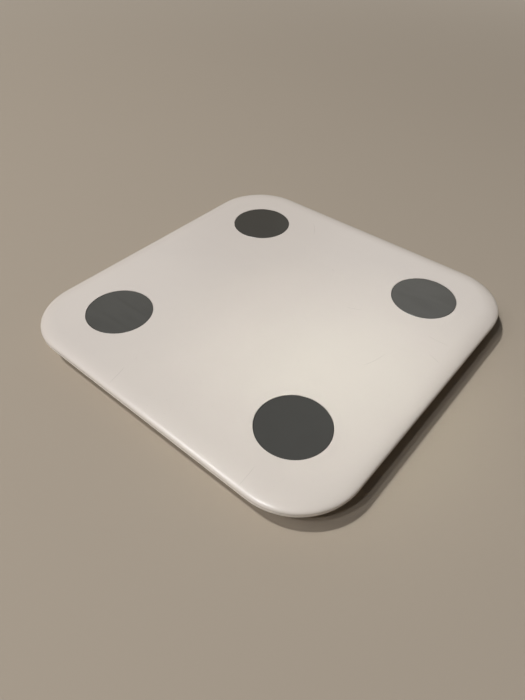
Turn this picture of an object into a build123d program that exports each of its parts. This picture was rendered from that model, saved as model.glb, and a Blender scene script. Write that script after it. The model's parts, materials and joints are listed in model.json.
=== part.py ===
from build123d import *
import os
from math import radians, sqrt, tan

# Digital bathroom scale: a glass platform with four foot electrodes, on four load-cell feet.
# Millimetres, +Z up, origin on the floor under the middle of the platform.
# The hidden display is on the +Y side, so the user stands facing +Y.

os.makedirs("parts", exist_ok=True)

# ---- Platform ----
SIDE = 300.0  # square plan, outside the glass
CORNER_R = 50.0  # plan radius of each corner
CORE = SIDE / 2 - CORNER_R  # centre of each corner's arc, from the middle
HEIGHT = 25.0  # floor to standing face
CUT = 1.0  # how far a cutter runs past the face that it opens

# ---- Glass ----
GLASS_T = 5.0
GLASS_Z = HEIGHT - GLASS_T  # underside of the glass
SHOULDER_W = 13.0  # width of the soft shoulder, measured inwards
SHOULDER_H = 4.2  # its drop
GLASS_BEVEL = 0.5
EDGE_BREAK = 0.4  # chamfer on the moulded edges of the underside

# ---- Electrodes ----
ELECTRODE_AT = 90.5  # centre of each disc, from the middle, in X and in Y
SEAT_R = 27.5  # recess in the glass
SEAT_SEAM = 0.25  # gap round the disc
DISC_T = 0.8
DISC_BEVEL = 0.3
STUD_AT = 76.0  # where each disc's stud passes through the glass
STUD_R = 2.5
STUD_HOLE_R = 4.0
STUD_END_Z = 16.6

# ---- Top frame, the white rim under the glass ----
TAPE_T = 0.5
TAPE_MARGIN = 4.0
TAPE_CLEAR = 2.0  # tape kept back round the display
TAPE_WINDOW_R = 12.0
BOARD_WINDOW = (110.0, 50.0)  # window in the tape over the main board
BOARD_WINDOW_AT = -80.0
SIDE_WINDOW = (50.0, 90.0)  # the windows on the left and the right
SIDE_WINDOW_AT = 90.0
PLATE_TOP = GLASS_Z - TAPE_T
PLATE_Z = PLATE_TOP - 2.0  # underside of the frame's plate
PILOT_TOP = PLATE_TOP - 0.6  # blind end of the screw holes
RIM_INSET = 0.3  # rim set back from the glass edge
RIM_W = 3.8
RIM_LAND = 2.8  # width of the rim's top face
RIM_Z = 17.0  # lowest edge of the rim
RIM_ROUND = 1.2
RIB_T = 1.5
RIB_H = 2.0
RIBS_ALONG_X = (-130.0, -100.0, -36.0, 36.0, 56.0, 100.0, 130.0)  # where each runs, in Y
RIBS_ALONG_Y = (-130.0, -56.0, 56.0, 130.0)  # where each runs, in X
PART_CLEAR = 2.0  # ribs kept back round the boards and the brackets
BAY_CLEAR = 4.0  # frame kept back round the battery bay
SKIRT_U = 43.8  # outer face of the locating skirt, from a corner's centre
POST_R = 3.5
BOARD_POST_R = 2.6
STAKE_R = 2.0
COLLAR_W = 3.5  # wall of the square collar over each load cell

# ---- Bottom housing ----
BASE_Z = 5.0  # flat underside above the floor
WALL = 2.2
HOUSING_TOP = RIM_Z - 0.2
FLAT_U = 20.0  # how far the flat underside runs past each corner's centre
EDGE_U = 49.2  # outer edge at the top of the housing
FLOOR_Z = BASE_Z + WALL  # inside face of the housing's floor
RIB_AT = 62.0
RIB_PAST = 4.0  # how far the housing's long ribs run past the flat

# ---- Feet ----
FOOT_AT = 100.0  # centre of each foot, from the middle, in X and in Y
FOOT_R = 18.5
FOOT_TOP = 3.6
FOOT_BEVEL = 0.6
PAD_R = 18.0
PAD_T = 1.4
PAD_BEVEL = 0.4
GROOVE_R = 12.0
GROOVE_DEPTH = 0.6
NECK_R = 10.0
NECK_WALL = 2.2
NECK_TOP = 11.8
SNAP_R = 11.3
SNAP_Z = 10.6  # underside of the snap ring
NECK_SPLIT_W = 2.0
BUTTON_R = 3.5
BUTTON_TIP_R = 2.0
FOOT_HOLE_R = 13.5  # hole in the housing

# ---- Load cells and their brackets ----
CELL_SIDE = 34.0
CELL_T = 2.0
CELL_Z = 13.6
CELL_TOP = CELL_Z + CELL_T
CELL_CORNER_R = 3.0
ARM_W = 15.0  # the cell's middle arm
SLOT_W = 2.2
SLOT_START = 9.0  # root of the arm
SLOT_END = -12.0  # its free end
SEALANT_Y = 5.0
SEALANT_SIZE = (9.0, 5.0)
SEALANT_T = 1.0
BRACKET_SIDE = 42.0
BRACKET_Z = 8.2
BRACKET_FLOOR_T = 1.8
BRACKET_CORNER_R = 4.0
LEAD_NOTCH_W = 3.0
NECK_CLEAR = 0.4
POCKET_SIDE = CELL_SIDE + 0.4
CAVITY_SIDE = 29.0
EAR_AT = 22.5  # bracket screw, from the foot's centre, in X and in Y
EAR_R = 5.5
EAR_Z = 10.2
EAR_T = 2.0

# ---- Screws ----
HOUSING_SCREWS = [(50.0, 122.0), (122.0, 50.0)]  # repeated in the four quarters
SCREW_R = 1.5
SCREW_CLEAR = 0.2
SCREW_HEAD_R = 2.8
SCREW_HEAD_H = 1.8
HOUSING_SCREW_L = 7.0
BRACKET_HEAD_H = 1.5
BRACKET_SCREW_L = 6.5
BOARD_SCREW_R = 1.0
BOARD_HEAD_R = 2.0
BOARD_HEAD_H = 1.1
BOARD_SCREW_L = 3.0
CROSS_DEPTH = 1.0
WELL_R = 3.8
WELL_WALL = 1.8
WELL_Z = 9.0  # face that each housing screw's head sits on
WELL_TOP = WELL_Z + WELL_WALL

# ---- Battery bay ----
AAA_R = 5.25
AAA_L = 44.5
AAA_NIPPLE_R = 1.9
AAA_NIPPLE_H = 0.9
AAA_PITCH = 11.1
AAA_COUNT = 4
AAA_FOOT_BEVEL = 0.5
AAA_NECK_DROP = 0.7
AAA_NECK_IN = 0.8
AAA_Z = 12.5  # height of the cells' axes
PLATE_ROOM = 1.6  # from a cell's nipple to the end wall
SPRING_ROOM = 3.5  # from a cell's flat end to the other wall
BAY_X = AAA_L + PLATE_ROOM + SPRING_ROOM
BAY_Y = AAA_PITCH * AAA_COUNT + 0.8
BAY_WALL = 1.6
BAY_ROOF_Z = 18.0
BAY_TOP = 19.2
STRIP_T = 0.4
STRIP_HALF = 4.4
LEAF_W = 4.0
DIMPLE_R = 1.8
TAB_W = 3.0
TAB_OUT = 1.5  # how far a solder tab stands out of the bay

# ---- Battery door ----
DOOR_X = 58.0
DOOR_Y = 52.0
DOOR_T = 1.8
DOOR_GAP = 0.4
DOOR_TOP = BASE_Z + DOOR_T
LEDGE_Z = DOOR_TOP + 0.1
LEDGE_TOP = 8.6
LEDGE_OUT = 2.5
HOOK_AT = 17.0  # each hook, from the middle of the door
HOOK_W = 8.0
HOOK_REACH = 2.4
HOOK_LOW = 7.2
HOOK_HIGH = 8.4
SLOT_HIGH = 9.6
TONGUE_W = 14.0
TONGUE_L = 9.0
TONGUE_SLIT = 1.0
HOOK_ROOT = 2.0
NOSE_R = 0.8
NOSE_IN = 0.5  # the nose's axis, from the edge of the door
GRIP_COUNT = 3
GRIP_PITCH = 2.0
GRIP_SIZE = (10.0, 0.8)
GRIP_DEPTH = 0.4
NOTCH_R = 8.0
NOTCH_DEPTH = 1.6
DOOR_CORNER_R = 2.0

# ---- Boards ----
BOARD_T = 1.2
BOARD_X = 96.0
BOARD_Y = 34.0
BOARD_AT = -66.0
BOARD_Z = 15.4  # lower face, where the chips and sockets are
BOARD_EDGE = BOARD_AT + BOARD_Y / 2
DISPLAY_X = 100.0
DISPLAY_Y = 36.0
DISPLAY_AT = 78.0
DISPLAY_Z = 13.2
DISPLAY_TOP = DISPLAY_Z + BOARD_T
LIGHT_BOX_X = 84.0
LIGHT_BOX_Y = 28.0
FILM_T = 0.6
DIGIT_H = 20.0
DIGIT_W = 11.0
DIGIT_PITCH = 19.0
DIGIT_COUNT = 4
BAR_W = 2.0  # one bar of a digit
BAR_GAP = 2.6  # by which a bar is shorter than the digit's side
HOLE_INSET = 3.5  # board screws, from the board's edges
HOLE_CLEAR = 0.2
BOARD_CORNER_R = 2.0
LIGHT_BOX_CORNER_R = 1.5
LIGHT_BOX_CLEAR = 1.0
LAMP = (1.6, 1.2)
LAMP_H = 0.8
CHIPS = {  # centre, plan size and height of each package
    "radio": ((-18.0, -68.0), (10.0, 10.0), 1.2),
    "converter": ((18.0, -70.0), (10.0, 6.0), 1.5),
    "controller": ((0.0, -70.0), (14.0, 16.0), 2.2),
    "crystal": ((-30.0, -72.0), (5.0, 3.0), 1.0),
}

# ---- Sockets and leads ----
SOCKET_Z = 12.4
SOCKET_W = 6.0
SOCKET_DEPTH = 5.0
SOCKET_SET = 0.5  # socket mouths stand this far inside the board's edge
CELL_SOCKET_X = 38.5
FRONT_SOCKET_X = 30.0
SIDE_SOCKET_Y = {"rear": -61.0, "front": -71.0}
BATTERY_SOCKET_X = 10.0
BATTERY_PIN = 2.0  # each battery lead, from the middle of its socket
RIBBON_X = -31.0
RIBBON_W = 7.0
RIBBON_T = 0.3
RIBBON_Z = 12.6
RIBBON_SOCKET_Z = 11.6
RIBBON_SOCKET_W = RIBBON_W + 1.2
RIBBON_SOCKET_DEPTH = 4.0
CELL_LEAD_R = 0.95
CELL_LEAD_Z = 14.4
THIN_LEAD_R = 0.6
THIN_LEAD_Z = 14.6
CONTACT_T = 0.3
CONTACT_W = 5.0
CONTACT_END = STUD_AT - 13.0  # soldered end of an electrode's sprung contact
CONTACT_FLAT = 7.0  # its level part, which the stake goes through
CONTACT_TIP = 2.5  # how far its raised end runs past the stud
STAKE_IN = 4.0
TAB_LAP = 0.8  # battery leads, from the bay's wall
ARC_SHARE = 0.45  # part of the shorter run that a lead's bend may take up

CORNERS = {
    "front_left": (-1, -1),
    "front_right": (1, -1),
    "rear_left": (-1, 1),
    "rear_right": (1, 1),
}
OPPOSITE_EARS = [(EAR_AT, -EAR_AT), (-EAR_AT, EAR_AT)]


# ---------------------------------------------------------------- helpers


def save(name, shape):
    """Write one sub-part, which may hold several separate solids."""
    solids = shape.solids()
    export_step(solids[0] if len(solids) == 1 else Compound(solids), f"parts/{name}.step")


def group(shapes):
    """Keep shapes as separate solids in one sub-part."""
    return Compound([solid for shape in shapes for solid in shape.solids()])


def box_between(low, high):
    """A block from its lowest to its highest corner."""
    size = [b - a for a, b in zip(low, high)]
    middle = [(a + b) / 2 for a, b in zip(low, high)]
    return Pos(*middle) * Box(*size)


def block(centre, size, z_low, z_high):
    """A block by its plan centre, its plan size and two heights."""
    return Pos(centre[0], centre[1], (z_low + z_high) / 2) * Box(size[0], size[1], z_high - z_low)


def disc(radius, z_low, z_high, at=(0, 0)):
    """An upright cylinder between two heights."""
    return Pos(at[0], at[1], (z_low + z_high) / 2) * Cylinder(radius, z_high - z_low)


def slab(size, radius, z_low, z_high, at=(0, 0)):
    """A flat plate with rounded corners."""
    return Pos(at[0], at[1], z_low) * extrude(RectangleRounded(*size, radius), z_high - z_low)


def square(side):
    return (side, side)


def section(*edges):
    """A face in the XZ plane: x is the distance out from an axis, z is the height."""
    return Plane.XZ * make_face(Curve() + list(edges))


def outline(*points):
    """The straight edges of a closed section."""
    return [Line(a, b) for a, b in zip(points, points[1:] + points[:1])]


def around(profile):
    """Carry a section round the platform: four sides and four quarter-turn corners."""
    side = Pos(CORE, CORE) * extrude(profile, 2 * CORE)
    corner = Pos(CORE, CORE) * revolve(profile, Axis.Z, revolution_arc=90)
    return [Rot(0, 0, turn) * piece for turn in (0, 90, 180, 270) for piece in (side, corner)]


def in_corner(shape, signs):
    """Place a rear-right piece in any corner, by mirroring it across the middle planes."""
    if signs[0] < 0:
        shape = mirror(shape, Plane.YZ)
    if signs[1] < 0:
        shape = mirror(shape, Plane.XZ)
    return shape


def in_all_corners(shape):
    return [in_corner(shape, signs) for signs in CORNERS.values()]


# ---------------------------------------------------------------- glass and electrodes


def top_glass():
    """Toughened glass with a broad elliptical shoulder, a seat for each disc and a hole for its stud."""
    crown, land = CORNER_R - SHOULDER_W, HEIGHT - SHOULDER_H
    bevel_u, bevel_z = CORNER_R - GLASS_BEVEL, GLASS_Z + GLASS_BEVEL
    profile = section(
        Line((0, HEIGHT), (0, GLASS_Z)),
        Line((0, GLASS_Z), (bevel_u, GLASS_Z)),
        Line((bevel_u, GLASS_Z), (CORNER_R, bevel_z)),
        Line((CORNER_R, bevel_z), (CORNER_R, land)),
        EllipticalCenterArc((crown, land), SHOULDER_W, SHOULDER_H, arc_size=90),
        Line((crown, HEIGHT), (0, HEIGHT)),
    )
    glass = block((0, 0), square(2 * CORE), GLASS_Z, HEIGHT) + around(profile)
    seat = disc(SEAT_R, HEIGHT - DISC_T, HEIGHT + CUT, (ELECTRODE_AT, ELECTRODE_AT))
    hole = disc(STUD_HOLE_R, GLASS_Z - CUT, HEIGHT, (STUD_AT, STUD_AT))
    return glass - in_all_corners(seat) - in_all_corners(hole)


def electrode():
    """Stainless disc, flush in its seat, with a welded stud that reaches down to the sprung contact."""
    plate = disc(SEAT_R - SEAT_SEAM, HEIGHT - DISC_T, HEIGHT, (ELECTRODE_AT, ELECTRODE_AT))
    rim = plate.edges().filter_by(GeomType.CIRCLE).sort_by(Axis.Z)[-1]
    plate = chamfer(rim, DISC_BEVEL)
    return plate + disc(STUD_R, STUD_END_Z, HEIGHT - DISC_T, (STUD_AT, STUD_AT))


def glass_tape():
    """Die-cut bonding tape: a broad ring with windows for the display, the bay and the studs."""
    side = SIDE - 2 * (RIM_LAND + RIM_INSET + TAPE_MARGIN)
    low, high = PLATE_TOP - CUT, GLASS_Z + CUT
    tape = slab(square(side), CORNER_R - SIDE / 2 + side / 2, PLATE_TOP, GLASS_Z)
    display = (LIGHT_BOX_X + 2 * TAPE_CLEAR, LIGHT_BOX_Y + 2 * TAPE_CLEAR)
    bay_gap = 2 * (BAY_CLEAR + TAPE_CLEAR)
    tape -= slab(display, 3, low, high, (0, DISPLAY_AT))
    tape -= slab((BAY_X + bay_gap, BAY_Y + bay_gap), 3, low, high)
    tape -= slab(BOARD_WINDOW, TAPE_WINDOW_R, low, high, (0, BOARD_WINDOW_AT))
    for sign in (-1, 1):
        tape -= slab(SIDE_WINDOW, TAPE_WINDOW_R, low, high, (sign * SIDE_WINDOW_AT, 0))
    return tape - in_all_corners(disc(STUD_HOLE_R, low, high, (STUD_AT, STUD_AT)))


# ---------------------------------------------------------------- top frame


def frame_ribs():
    """Crossed ribs under the frame's plate, kept clear of the boards, the bay and the brackets."""
    reach, low = CORE + SKIRT_U, PLATE_Z - RIB_H
    bars = [block((0, y), (2 * reach, RIB_T), low, PLATE_Z) for y in RIBS_ALONG_X]
    bars += [block((x, 0), (RIB_T, 2 * reach), low, PLATE_Z) for x in RIBS_ALONG_Y]
    lattice = bars[0] + bars[1:]
    inside = slab(square(2 * reach), SKIRT_U, low, PLATE_Z)
    gap, bay_gap = 2 * PART_CLEAR, 2 * BAY_CLEAR
    keep_out = [
        block((0, BOARD_AT), (BOARD_X + gap, BOARD_Y + gap), 0, HEIGHT),
        block((0, DISPLAY_AT), (DISPLAY_X + gap, DISPLAY_Y + gap), 0, HEIGHT),
        block((0, 0), (BAY_X + bay_gap, BAY_Y + bay_gap), 0, HEIGHT),
    ]
    keep_out += in_all_corners(block((FOOT_AT, FOOT_AT), square(BRACKET_SIDE + gap), 0, HEIGHT))
    return (lattice & inside) - keep_out


def board_fixings():
    """(x, y), upper face and whether a screw goes there, for each corner of both boards."""
    fixings = []
    for width, depth, at_y, top in (
        (BOARD_X, BOARD_Y, BOARD_AT, BOARD_Z + BOARD_T),
        (DISPLAY_X, DISPLAY_Y, DISPLAY_AT, DISPLAY_TOP),
    ):
        x, y = width / 2 - HOLE_INSET, depth / 2 - HOLE_INSET
        fixings += [((sx * x, at_y + sy * y), top, sx == sy) for sx, sy in CORNERS.values()]
    return fixings


def frame_posts():
    """Posts that hang from the plate, and the pilot holes in them."""
    posts, pilots = [], []
    root = PLATE_Z + CUT

    def post(at, bottom):
        posts.extend(in_all_corners(disc(POST_R, bottom, root, at)))
        pilots.extend(in_all_corners(disc(SCREW_R, bottom - CUT, PILOT_TOP, at)))

    for at in HOUSING_SCREWS:
        post(at, WELL_TOP)
    for x, y in OPPOSITE_EARS:
        post((FOOT_AT + x, FOOT_AT + y), EAR_Z + EAR_T)
    for at, top, screwed in board_fixings():
        posts.append(disc(BOARD_POST_R, top, root, at))
        if screwed:
            pilots.append(disc(BOARD_SCREW_R, top - CUT, PILOT_TOP, at))
        else:
            posts.append(disc(BOARD_SCREW_R, top - BOARD_T, root, at))
    return posts, pilots


def frame_seats():
    """Square collar that holds each load cell down, and the stake of each sprung contact."""
    at = (FOOT_AT, FOOT_AT)
    collar = slab(square(CELL_SIDE), CELL_CORNER_R, CELL_TOP, PLATE_Z + CUT, at)
    collar -= slab(square(CELL_SIDE - 2 * COLLAR_W), 2, 0, PLATE_Z, at)
    stake_at = (CONTACT_END + STAKE_IN, STUD_AT)
    stake = disc(STAKE_R, THIN_LEAD_Z + CONTACT_T / 2, PLATE_Z + CUT, stake_at)
    return in_all_corners(collar) + in_all_corners(stake)


def top_frame():
    """White moulded frame: the visible rim, the plate bonded under the glass, ribs and posts."""
    rim_u = CORNER_R - RIM_INSET
    inner_u, land_u = rim_u - RIM_W, rim_u - RIM_LAND
    bend_u, bend_z = rim_u - RIM_ROUND, RIM_Z + RIM_ROUND
    profile = section(
        Line((0, PLATE_TOP), (0, PLATE_Z)),
        Line((0, PLATE_Z), (inner_u, PLATE_Z)),
        Line((inner_u, PLATE_Z), (inner_u, RIM_Z)),
        Line((inner_u, RIM_Z), (bend_u, RIM_Z)),
        CenterArc((bend_u, bend_z), RIM_ROUND, -90, 90),
        Line((rim_u, bend_z), (rim_u, GLASS_Z)),
        Line((rim_u, GLASS_Z), (land_u, GLASS_Z)),
        Line((land_u, GLASS_Z), (land_u, PLATE_TOP)),
        Line((land_u, PLATE_TOP), (0, PLATE_TOP)),
    )
    skirt = section(
        *outline(
            (SKIRT_U - RIB_T, PLATE_Z - RIB_H),
            (SKIRT_U, PLATE_Z - RIB_H),
            (SKIRT_U, PLATE_Z + CUT),
            (SKIRT_U - RIB_T, PLATE_Z + CUT),
        )
    )
    posts, pilots = frame_posts()
    plate = block((0, 0), square(2 * CORE), PLATE_Z, PLATE_TOP) + around(profile)
    frame = plate + around(skirt) + frame_ribs().solids() + frame_seats() + posts
    low, high = PLATE_Z - RIB_H - CUT, GLASS_Z + CUT
    bay = (BAY_X + 2 * BAY_CLEAR, BAY_Y + 2 * BAY_CLEAR)
    display = (LIGHT_BOX_X + 2 * LIGHT_BOX_CLEAR, LIGHT_BOX_Y + 2 * LIGHT_BOX_CLEAR)
    openings = [slab(bay, 3, low, high), slab(display, 2, low, high, (0, DISPLAY_AT))]
    openings += in_all_corners(disc(STUD_HOLE_R, low, high, (STUD_AT, STUD_AT)))
    return frame - openings - pilots


# ---------------------------------------------------------------- bottom housing and door


def housing_shell():
    """Dished shell: a flat underside that sweeps up to the rim in one arc tangent to the flat."""
    reach, rise = EDGE_U - FLAT_U, HOUSING_TOP - BASE_Z
    outer_r = (reach**2 + rise**2) / (2 * rise)
    to_centre = outer_r - rise
    inner_u = FLAT_U + sqrt((outer_r - WALL) ** 2 - to_centre**2)
    profile = section(
        Line((0, FLOOR_Z), (0, BASE_Z)),
        Line((0, BASE_Z), (FLAT_U, BASE_Z)),
        TangentArc((FLAT_U, BASE_Z), (EDGE_U, HOUSING_TOP), tangent=(1, 0)),
        Line((EDGE_U, HOUSING_TOP), (inner_u, HOUSING_TOP)),
        TangentArc((FLAT_U, FLOOR_Z), (inner_u, HOUSING_TOP), tangent=(1, 0)),
        Line((FLAT_U, FLOOR_Z), (0, FLOOR_Z)),
    )
    return block((0, 0), square(2 * CORE), BASE_Z, FLOOR_Z) + around(profile)


def housing_ribs():
    """Stiffening ribs on the housing's floor: a square between the feet, tied to the bay."""
    low, high, reach = FLOOR_Z - CUT, FLOOR_Z + RIB_H, CORE + FLAT_U + RIB_PAST
    bay_x, bay_y = BAY_X / 2 + BAY_WALL, BAY_Y / 2 + BAY_WALL
    ribs = []
    for side in (-1, 1):
        ribs.append(block((side * RIB_AT, 0), (RIB_T, 2 * reach), low, high))
        ribs.append(block((0, side * RIB_AT), (2 * reach, RIB_T), low, high))
        ribs.append(block((side * (bay_x + RIB_AT) / 2, 0), (RIB_AT - bay_x, RIB_T), low, high))
        ribs.append(block((0, side * (bay_y + RIB_AT) / 2), (RIB_T, RIB_AT - bay_y), low, high))
    return ribs


def screw_wells():
    """Tubes that the housing screws sink into, and the bores in them."""
    tubes, bores = [], []
    for at in HOUSING_SCREWS:
        tubes += in_all_corners(disc(WELL_R + WELL_WALL, FLOOR_Z - CUT, WELL_TOP, at))
        bores += in_all_corners(disc(WELL_R, BASE_Z - CUT, WELL_Z, at))
        bores += in_all_corners(disc(SCREW_R + SCREW_CLEAR, WELL_Z - CUT, WELL_TOP + CUT, at))
    return tubes, bores


def battery_bay():
    """The bay's walls and the ledge round it that the door closes on."""
    outer = (BAY_X + 2 * BAY_WALL, BAY_Y + 2 * BAY_WALL)
    recess = (DOOR_X + 2 * DOOR_GAP, DOOR_Y + 2 * DOOR_GAP)
    rim = (recess[0] + 2 * LEDGE_OUT, recess[1] + 2 * LEDGE_OUT)
    return [slab(outer, 2, BASE_Z, BAY_TOP), slab(rim, 3, BASE_Z, LEDGE_TOP)]


def battery_bay_cuts():
    """The bay's inside, the door's recess, the hook slots, the tab slots and the finger notch."""
    recess = (DOOR_X + 2 * DOOR_GAP, DOOR_Y + 2 * DOOR_GAP)
    cuts = [
        block((0, 0), (BAY_X, BAY_Y), BASE_Z - CUT, BAY_ROOF_Z),
        slab(recess, DOOR_CORNER_R + DOOR_GAP, BASE_Z - CUT, LEDGE_Z),
    ]
    slot_far, slot_near = DOOR_Y / 2 + HOOK_REACH + CUT, BAY_Y / 2 - 0.1
    for sign in (-1, 1):
        middle = (sign * HOOK_AT, -(slot_far + slot_near) / 2)
        cuts.append(block(middle, (HOOK_W + 1, slot_far - slot_near), DOOR_TOP, SLOT_HIGH))
    wall_x = (BAY_X + BAY_WALL) / 2
    for index in (0, AAA_COUNT - 1):
        middle = (wall_x, battery_y(index))
        size = (BAY_WALL + CUT, TAB_W + 0.4)
        cuts.append(block(middle, size, THIN_LEAD_Z - STRIP_T, THIN_LEAD_Z + STRIP_T))
    notch_z = BASE_Z + NOTCH_DEPTH - NOTCH_R
    cuts.append(Pos(0, recess[1] / 2, notch_z) * Rot(0, 90, 0) * Cylinder(NOTCH_R, TONGUE_W))
    return cuts


def bottom_housing():
    """White moulded dish with the battery bay, the foot holes, the ribs and the screw wells."""
    tubes, bores = screw_wells()
    housing = housing_shell() + tubes + housing_ribs() + battery_bay()
    foot_hole = disc(FOOT_HOLE_R, BASE_Z - CUT, HOUSING_TOP, (FOOT_AT, FOOT_AT))
    housing = housing - bores - battery_bay_cuts() - in_all_corners(foot_hole)
    underside = housing.faces().sort_by(Axis.Z)[0]
    rims = [edge for wire in underside.inner_wires() for edge in wire.edges().filter_by(GeomType.CIRCLE)]
    round_rims = [edge for edge in rims if edge.radius in (FOOT_HOLE_R, WELL_R)]
    return chamfer(round_rims, EDGE_BREAK)


def battery_door():
    """Snap door: a plate with two hooks on one side and a latch tongue between slits on the other."""
    door = slab((DOOR_X, DOOR_Y), DOOR_CORNER_R, BASE_Z, DOOR_TOP)
    door = chamfer(door.edges().group_by(Axis.Z)[0], EDGE_BREAK)
    edge = DOOR_Y / 2
    for sign in (-1, 1):
        x = sign * HOOK_AT
        door += block((x, HOOK_ROOT / 2 - edge), (HOOK_W, HOOK_ROOT), DOOR_TOP - CUT / 2, HOOK_HIGH)
        reach = (HOOK_W, HOOK_REACH + HOOK_ROOT)
        door += block((x, (HOOK_ROOT - HOOK_REACH) / 2 - edge), reach, HOOK_LOW, HOOK_HIGH)
        slit_x = sign * (TONGUE_W + TONGUE_SLIT) / 2
        slit = (TONGUE_SLIT, TONGUE_L + CUT)
        door -= block((slit_x, edge - TONGUE_L / 2 + CUT / 2), slit, BASE_Z - CUT, DOOR_TOP + CUT)
    nose = Pos(0, edge - NOSE_IN, BASE_Z + DOOR_T / 2) * Rot(0, 90, 0) * Cylinder(NOSE_R, TONGUE_W)
    grip_rows = [edge - GRIP_PITCH * (k + 1.5) for k in range(GRIP_COUNT)]
    return door + nose - [block((0, y), GRIP_SIZE, BASE_Z - CUT, BASE_Z + GRIP_DEPTH) for y in grip_rows]


# ---------------------------------------------------------------- feet, load cells, brackets


def foot():
    """Moulded foot: a broad disc, a split neck with a snap ring, and a button under the cell."""
    bore_r = NECK_R - NECK_WALL
    profile = section(
        *outline(
            (0, PAD_T),
            (FOOT_R, PAD_T),
            (FOOT_R, FOOT_TOP - FOOT_BEVEL),
            (FOOT_R - FOOT_BEVEL, FOOT_TOP),
            (NECK_R, FOOT_TOP),
            (NECK_R, SNAP_Z),
            (SNAP_R, SNAP_Z),
            (bore_r, NECK_TOP),
            (bore_r, FOOT_TOP),
            (BUTTON_R, FOOT_TOP),
            (BUTTON_R, CELL_Z - BUTTON_R + BUTTON_TIP_R),
            (BUTTON_TIP_R, CELL_Z),
            (0, CELL_Z),
        )
    )
    body = revolve(profile, Axis.Z)
    split = block((0, 0), (NECK_SPLIT_W, 3 * NECK_R), FOOT_TOP + NECK_SPLIT_W, NECK_TOP + CUT)
    split -= disc(BUTTON_R + CUT, 0, HEIGHT)
    return Pos(FOOT_AT, FOOT_AT) * (body - Rot(0, 0, 45) * split)


def foot_pad():
    """Soft pad under each foot, with a ring groove."""
    profile = section(
        *outline(
            (0, PAD_T),
            (0, 0),
            (GROOVE_R - GROOVE_DEPTH, 0),
            (GROOVE_R, GROOVE_DEPTH),
            (GROOVE_R + GROOVE_DEPTH, 0),
            (PAD_R - PAD_BEVEL, 0),
            (PAD_R, PAD_BEVEL),
            (PAD_R, PAD_T),
        )
    )
    return Pos(FOOT_AT, FOOT_AT) * revolve(profile, Axis.Z)


def load_cell():
    """Stamped steel cell: an outer frame and a middle arm, parted by a U-shaped slot."""
    middle, span = (SLOT_START + SLOT_END) / 2, SLOT_START - SLOT_END
    plate = RectangleRounded(CELL_SIDE, CELL_SIDE, CELL_CORNER_R)
    for sign in (-1, 1):
        x = sign * (ARM_W + SLOT_W) / 2
        plate -= Pos(x, middle) * Rectangle(SLOT_W, span)
        plate -= Pos(x, SLOT_START) * Circle(SLOT_W / 2)
    plate -= Pos(0, SLOT_END + SLOT_W / 2) * Rectangle(ARM_W + SLOT_W, SLOT_W)
    plate -= Pos(0, SLOT_START + SLOT_W) * SlotOverall(ARM_W / 2, SLOT_W)
    return Pos(FOOT_AT, FOOT_AT, CELL_Z) * extrude(plate, CELL_T)


def gauge_sealant():
    """Soft white compound over the strain gauges at the root of the middle arm."""
    outline_face = RectangleRounded(*SEALANT_SIZE, 2)
    return Pos(FOOT_AT, FOOT_AT + SEALANT_Y, CELL_TOP) * extrude(outline_face, SEALANT_T, taper=15)


def cell_bracket():
    """Plastic tray that clamps a cell to the top frame and guides the foot's neck."""
    tray = slab(square(BRACKET_SIDE), BRACKET_CORNER_R, BRACKET_Z, CELL_TOP)
    tray += [disc(EAR_R, EAR_Z, EAR_Z + EAR_T, at) for at in OPPOSITE_EARS]
    tray -= slab(square(POCKET_SIDE), CELL_CORNER_R, CELL_Z, CELL_TOP + CUT)
    tray -= slab(square(CAVITY_SIDE), CELL_CORNER_R, BRACKET_Z + BRACKET_FLOOR_T, CELL_TOP)
    tray -= disc(NECK_R + NECK_CLEAR, 0, CELL_TOP)
    notch_z = CELL_LEAD_Z - LEAD_NOTCH_W / 2
    tray -= block((-BRACKET_SIDE / 2, 0), (2 * EAR_R, LEAD_NOTCH_W), notch_z, CELL_TOP + CUT)
    tray -= [disc(SCREW_R + SCREW_CLEAR, 0, HEIGHT, at) for at in OPPOSITE_EARS]
    return Pos(FOOT_AT, FOOT_AT) * tray


# ---------------------------------------------------------------- fasteners


def screw(radius, head_radius, head_height, length, head_z, at):
    """Pan-head screw driven upwards. head_z is the face that the head bears on."""
    return disc(radius, head_z, head_z + length, at) + disc(head_radius, head_z - head_height, head_z, at)


def cross_recess(head_radius, depth, z_low, at):
    """The cutter for a crosshead."""
    arm, width = head_radius * 1.1, head_radius * 0.3
    low, high = z_low - CUT, z_low + depth
    return block(at, (arm, width), low, high) + block(at, (width, arm), low, high)


def housing_screws():
    screws = []
    for at in HOUSING_SCREWS:
        one = screw(SCREW_R, SCREW_HEAD_R, SCREW_HEAD_H, HOUSING_SCREW_L, WELL_Z, at)
        one -= cross_recess(SCREW_HEAD_R, CROSS_DEPTH, WELL_Z - SCREW_HEAD_H, at)
        screws += in_all_corners(one)
    return group(screws)


def bracket_screws():
    screws = []
    for x, y in OPPOSITE_EARS:
        at = (FOOT_AT + x, FOOT_AT + y)
        one = screw(SCREW_R, SCREW_HEAD_R, BRACKET_HEAD_H, BRACKET_SCREW_L, EAR_Z, at)
        screws += in_all_corners(one)
    return group(screws)


def board_screws():
    size = (BOARD_SCREW_R, BOARD_HEAD_R, BOARD_HEAD_H, BOARD_SCREW_L)
    places = [(top - BOARD_T, at) for at, top, screwed in board_fixings() if screwed]
    return group([screw(*size, *place) for place in places])


# ---------------------------------------------------------------- batteries and contacts


def battery_y(index):
    return (index - (AAA_COUNT - 1) / 2) * AAA_PITCH


def battery_way(index):
    """Which way a cell's nipple points along X. Neighbours point opposite ways."""
    return 1 if index % 2 == 0 else -1


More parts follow.
